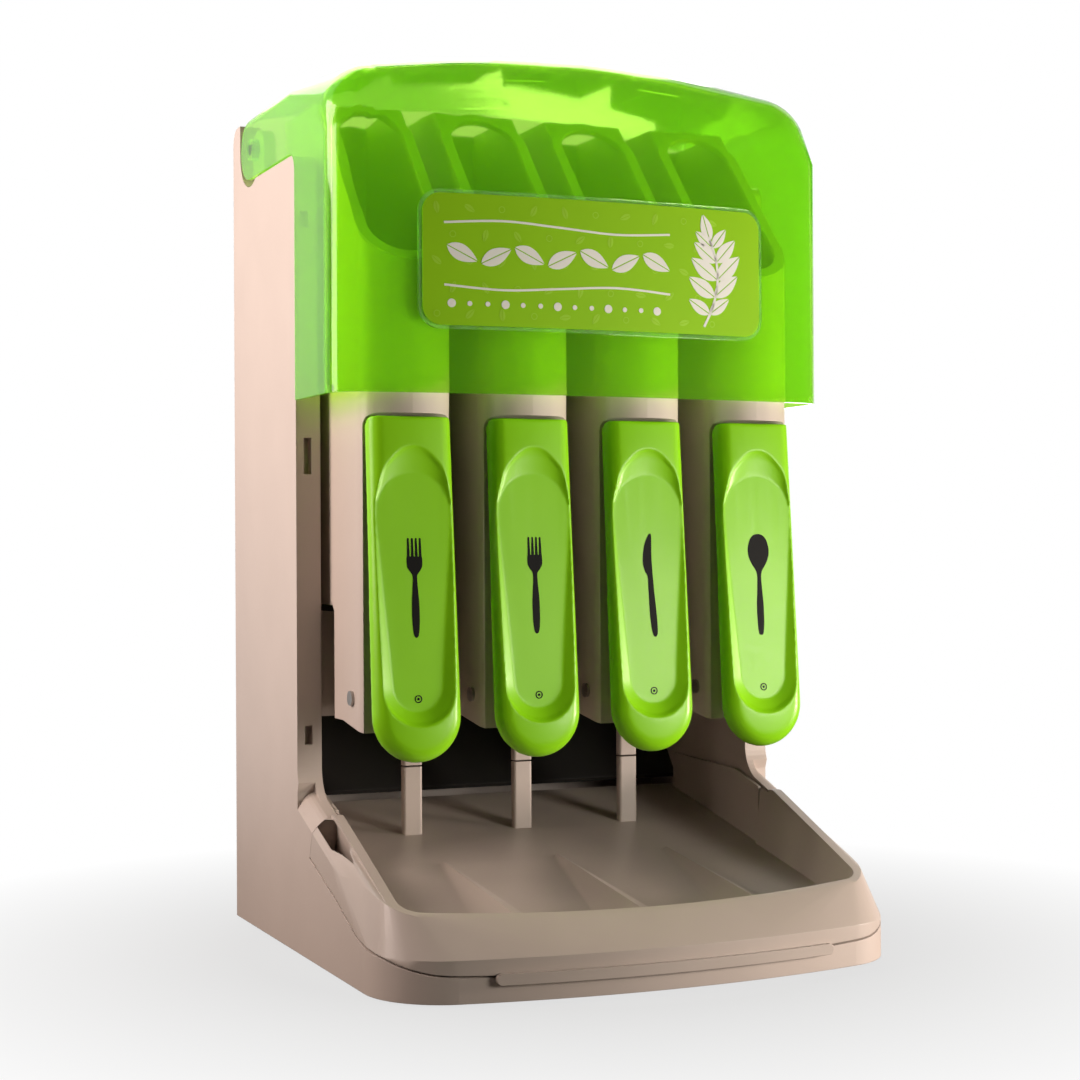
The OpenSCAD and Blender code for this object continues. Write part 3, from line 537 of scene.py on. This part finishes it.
def fork_strips(x, top, height):
    """Four tines, a round-shouldered head and a long tapering handle."""
    half_head = 5.4 * MM
    tine = 0.185
    strips = []
    for k in range(4):
        c = x + (k - 1.5) * 2.75 * MM
        strips.append(
            [
                (top, c - 0.35 * MM, c + 0.35 * MM),
                (top - 0.012 * height, c - 0.6 * MM, c + 0.6 * MM),
                (top - tine * height, c - 0.95 * MM, c + 0.95 * MM),
            ]
        )
    head = smooth_line(
        [
            (tine, half_head - 0.3 * MM),
            (0.22, half_head),
            (0.285, half_head - 0.2 * MM),
            (0.33, half_head * 0.68),
            (0.37, half_head * 0.33),
            (0.42, 1.45 * MM),
        ]
    )
    strips.append([(top - t * height, x - h, x + h) for t, h in head])
    handle = smooth_line(
        [
            (0.42, 1.45 * MM),
            (0.52, 1.9 * MM),
            (0.65, 2.5 * MM),
            (0.8, 2.6 * MM),
            (0.92, 2.2 * MM),
            (0.98, 1.4 * MM),
            (1.0, 0.3 * MM),
        ]
    )
    strips.append([(top - t * height, x - h, x + h) for t, h in handle])
    return strips


def spoon_strips(x, top, height):
    """An egg-shaped bowl that narrows into the handle."""
    bowl = smooth_line(
        [
            (0.0, 1.2 * MM),
            (0.012, 3.6 * MM),
            (0.05, 6.3 * MM),
            (0.12, 8.0 * MM),
            (0.18, 8.3 * MM),
            (0.24, 7.5 * MM),
            (0.30, 5.4 * MM),
            (0.35, 3.0 * MM),
            (0.385, 1.9 * MM),
            (0.44, 1.5 * MM),
            (0.55, 1.9 * MM),
            (0.7, 2.6 * MM),
            (0.85, 2.6 * MM),
            (0.95, 2.1 * MM),
            (0.99, 1.5 * MM),
            (1.0, 0.6 * MM),
        ]
    )
    return [[(top - t * height, x - h, x + h) for t, h in bowl]]


def knife_strips(x, top, height):
    """A blade with a straight back, a bellied edge and a slim handle."""
    rows = smooth_line(
        [
            (0.0, 0.7 * MM, 1.6 * MM),
            (0.03, -1.0 * MM, 2.0 * MM),
            (0.10, -3.2 * MM, 1.9 * MM),
            (0.20, -4.7 * MM, 1.7 * MM),
            (0.30, -4.9 * MM, 1.8 * MM),
            (0.37, -3.4 * MM, 2.0 * MM),
            (0.42, -1.7 * MM, 2.2 * MM),
            (0.55, -1.4 * MM, 2.8 * MM),
            (0.75, -1.0 * MM, 4.0 * MM),
            (0.90, -0.1 * MM, 4.6 * MM),
            (0.97, 0.9 * MM, 4.4 * MM),
            (1.0, 2.0 * MM, 3.3 * MM),
        ]
    )
    return [[(top - t * height, x + a, x + b) for t, a, b in rows]]


# Each lever's drawing, the height of its top and its length, in millimetres
PICTOGRAMS = {
    1: (fork_strips, 285.5, 65.5),
    2: (fork_strips, 286.0, 65.0),
    3: (knife_strips, 288.0, 71.0),
    4: (spoon_strips, 287.5, 71.0),
}
# A small ring and dot mark where the thumb presses. A dot's hole is too small to see
PRESS_MARK_Z = 180 * MM
DOT_HOLE = 0.05 * MM
for i, (draw, top, height) in PICTOGRAMS.items():
    lo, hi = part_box(f"press_lever_{i}")
    middle = (lo.x + hi.x) / 2
    ink = level_rows(draw(middle, top * MM, height * MM))
    ink.append(ring_ribbon(middle, PRESS_MARK_Z, 1.9 * MM, 2.6 * MM))
    ink.append(ring_ribbon(middle, PRESS_MARK_Z, DOT_HOLE, 0.9 * MM, 16))
    face = surface_of(f"press_lever_{i}")
    ink_film(f"pictogram_{i}", ink, face, f"lever_{i}", pad_ink)


def label_print():
    """The card's print: a leafy sprig, two long curved lines and a pale pattern of leaves."""
    card = surface_of("label_card")
    lo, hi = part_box("label_card")
    mid_x, mid_z = (lo.x + hi.x) / 2, (lo.z + hi.z) / 2
    vein = 0.7 * MM

    def spot(x, z):
        """A place on the card, in millimetres from its middle."""
        return mid_x + x * MM, mid_z + z * MM

    white = []
    # Sprig: a stem with five pairs of leaves and one at the tip
    stem = [(80, -38), (87, -24), (91, -8), (90, 8), (85, 22)]
    white.append(line_ribbon([spot(*p) for p in stem], 1.8 * MM))
    pairs = [(84.5, -29, 19), (88.5, -17, 24), (90.8, -5, 25), (90.2, 7, 22), (87, 17, 17)]
    for k, (x, z, long) in enumerate(pairs):
        for turn in (35 + 4 * k, 150 - 2 * k):
            white += leaf_ribbons(*spot(x, z), long * MM, long * 0.44 * MM, turn, vein)
    white += leaf_ribbons(*spot(85, 21.5), 19 * MM, 8.6 * MM, 108, vein)
    # Two long lines, a row of lying leaves between them and a row of dots below
    for z, bend in ((24, 2.4), (-17, -2.4)):
        run = [(-111, z), (-70, z + bend), (-29, z), (12, z - bend), (53, z)]
        white.append(line_ribbon([spot(*p) for p in run], 1.5 * MM))
    for k in range(7):
        x = -109 + 23.5 * k
        turn = 26 if k % 2 else -26
        white += leaf_ribbons(*spot(x, 3.5 - 0.22 * turn), 23 * MM, 10.4 * MM, turn, vein)
    for k in range(13):
        x, z = spot(-106 + 12.4 * k, -29)
        white.append(ring_ribbon(x, z, DOT_HOLE, (1.7 if k % 3 else 2.9) * MM, 16))
    ink_film("label_white_print", white, card, "cover", card_white, 1, 0.14 * MM)
    # Pale pattern under the white: small leaves and rings, row by row, short of the right edge
    pale = []
    for row in range(5):
        for k in range(11):
            x = -116 + 22.5 * k + (11 if row % 2 else 0)
            z = -36 + 17.5 * row
            if x > 108:
                continue
            turn = (row * 70 + k * 47) % 360
            if (row + k) % 3:
                c, d = math.cos(math.radians(turn)), math.sin(math.radians(turn))
                start = spot(x - 4 * c, z - 4 * d)
                pale += leaf_ribbons(*start, 8.5 * MM, 3.6 * MM, turn, 0.4 * MM)
            else:
                pale.append(ring_ribbon(*spot(x, z), 1.7 * MM, 2.3 * MM, 18))
    ink_film("label_pale_print", pale, card, "cover", card_pale, 1, 0.06 * MM)


label_print()


# --- Camera, floor and light ---------------------------------------------

# The photograph's view: 68.7 mm lens on a 36 mm square frame, turned 23.3 degrees to the left
camera_data = bpy.data.cameras.new("camera")
camera_data.lens = 68.73
camera_data.sensor_width = 36.0
camera_data.clip_start = 0.05
camera = bpy.data.objects.new("camera", camera_data)
bpy.context.scene.collection.objects.link(camera)
camera.matrix_world = (
    Matrix.Translation((-0.5888, -1.3400, 0.2788))
    @ Matrix.Rotation(math.radians(-23.27), 4, "Z")
    @ Matrix.Rotation(math.radians(90.21), 4, "X")
    @ Matrix.Rotation(math.radians(-0.30), 4, "Z")
)
bpy.context.scene.camera = camera
bpy.context.scene.view_settings.view_transform = "Standard"


def pale_sweep():
    """A floor that curves up into a backdrop, with no visible edge."""
    front, bend_start, bend_radius, top = -8.0, 3.0, 2.0, 9.0
    half_width = 9.0
    bend_steps = 12
    profile = [(front, 0.0), (bend_start, 0.0)]
    for k in range(1, bend_steps + 1):
        a = math.pi / 2 * k / bend_steps
        profile.append(
            (bend_start + bend_radius * math.sin(a), bend_radius - bend_radius * math.cos(a))
        )
    profile.append((bend_start + bend_radius, top))
    mesh = bmesh.new()
    rows = []
    for y, z in profile:
        rows.append([mesh.verts.new((x, y, z)) for x in (-half_width, half_width)])
    for a, b in zip(rows, rows[1:]):
        mesh.faces.new((a[0], a[1], b[1], b[0]))
    data = bpy.data.meshes.new("pale_sweep")
    mesh.to_mesh(data)
    mesh.free()
    for p in data.polygons:
        p.use_smooth = True
    piece = bpy.data.objects.new("pale_sweep", data)
    bpy.context.scene.collection.objects.link(piece)
    # White paper: dull and even, and it shows itself as plain white to the eye
    material, tree, out = new_material("sweep_paper_white")
    paper = add(tree, "ShaderNodeBsdfDiffuse", {"Color": paint("#6E6C69")})
    glow = add(tree, "ShaderNodeEmission", {"Color": paint("#FFFFFF"), "Strength": 1.0})
    path = add(tree, "ShaderNodeLightPath")
    seen = add(
        tree,
        "ShaderNodeMath",
        {"operation": "MAXIMUM"},
        {0: path.outputs["Is Camera Ray"], 1: path.outputs["Is Transmission Ray"]},
    )
    # The part of it behind the object also shows in the object's gloss
    place = add(tree, "ShaderNodeTexCoord")
    point = add(tree, "ShaderNodeSeparateXYZ", {}, {"Vector": place.outputs["Object"]})
    behind = add(
        tree,
        "ShaderNodeMapRange",
        {"From Min": 0.4, "From Max": 1.2},
        {"Value": point.outputs["Y"]},
    )
    mirrored = add(
        tree,
        "ShaderNodeMath",
        {"operation": "MULTIPLY"},
        {0: path.outputs["Is Glossy Ray"], 1: behind.outputs["Result"]},
    )
    shown = add(
        tree,
        "ShaderNodeMath",
        {"operation": "MAXIMUM"},
        {0: seen.outputs["Value"], 1: mirrored.outputs["Value"]},
    )
    # Close to the object the paper takes its shadow; further out it is plain white
    far = add(tree, "ShaderNodeVectorMath", {"operation": "LENGTH"}, {0: place.outputs["Object"]})
    clean = add(
        tree,
        "ShaderNodeMapRange",
        {"From Min": 0.22, "From Max": 0.55, "To Min": 0.72, "To Max": 1.0},
        {"Value": far.outputs["Value"]},
    )
    share = add(
        tree,
        "ShaderNodeMath",
        {"operation": "MULTIPLY"},
        {0: shown.outputs["Value"], 1: clean.outputs["Result"]},
    )
    both = add(
        tree,
        "ShaderNodeMixShader",
        {},
        {0: share.outputs["Value"], 1: paper.outputs["BSDF"], 2: glow.outputs["Emission"]},
    )
    tree.links.new(both.outputs["Shader"], out.inputs["Surface"])
    data.materials.append(material)


def studio_world():
    """Plain white behind everything, and only a faint cool light from it on the object."""
    world = bpy.data.worlds.new("studio")
    bpy.context.scene.world = world
    world.use_nodes = True
    tree = world.node_tree
    tree.nodes.clear()
    dome = add(tree, "ShaderNodeBackground", {"Color": paint("#F0F4FF"), "Strength": 0.02})
    white = add(tree, "ShaderNodeBackground", {"Color": paint("#FFFFFF"), "Strength": 1.0})
    path = add(tree, "ShaderNodeLightPath")
    seen = add(
        tree,
        "ShaderNodeMath",
        {"operation": "MAXIMUM"},
        {0: path.outputs["Is Camera Ray"], 1: path.outputs["Is Transmission Ray"]},
    )
    both = add(
        tree,
        "ShaderNodeMixShader",
        {},
        {0: seen.outputs["Value"], 1: dome.outputs["Background"], 2: white.outputs["Background"]},
    )
    add(tree, "ShaderNodeOutputWorld", {}, {"Surface": both.outputs["Shader"]})


def soft_box(name, place, aim, width, height, power, colour):
    """A rectangular studio lamp aimed at a point. Metres and watts."""
    data = bpy.data.lights.new(name, "AREA")
    data.shape = "RECTANGLE"
    data.size, data.size_y = width, height
    data.energy = power
    data.color = paint(colour)[:3]
    lamp = bpy.data.objects.new(name, data)
    bpy.context.scene.collection.objects.link(lamp)
    way = Vector(aim) - Vector(place)
    facing = way.to_track_quat("-Z", "Y").to_matrix().to_4x4()
    lamp.matrix_world = Matrix.Translation(place) @ facing


pale_sweep()
studio_world()

# Warm light from both sides and low in front
soft_box("side_left", (-0.75, 0.03, 0.5), (-0.18, 0.03, 0.45), 0.25, 0.5, 4.1, "#FFEDE4")
soft_box("side_left_high", (-0.75, 0.25, 0.8), (-0.18, 0.05, 0.5), 0.3, 0.3, 3.0, "#FFEDE4")
soft_box("side_right", (1.0, -0.45, 0.15), (0.15, -0.17, 0.05), 0.25, 0.2, 10.0, "#FFEDE2")
soft_box("key_low", (0.6, -0.92, 0.26), (0.1, -0.06, 0.25), 0.32, 0.26, 5.2, "#FFF8EE")
# White light from behind, through the cover and on the back panel
soft_box("back_top", (0.1, 0.85, 1.3), (0.0, 0.0, 0.6), 1.2, 0.8, 7, "#FFFFFF")
soft_box("back_fill", (0.6, 1.3, 0.18), (0.0, 0.2, 0.25), 0.8, 0.3, 4, "#FFFFFF")

lo, hi = cad_box
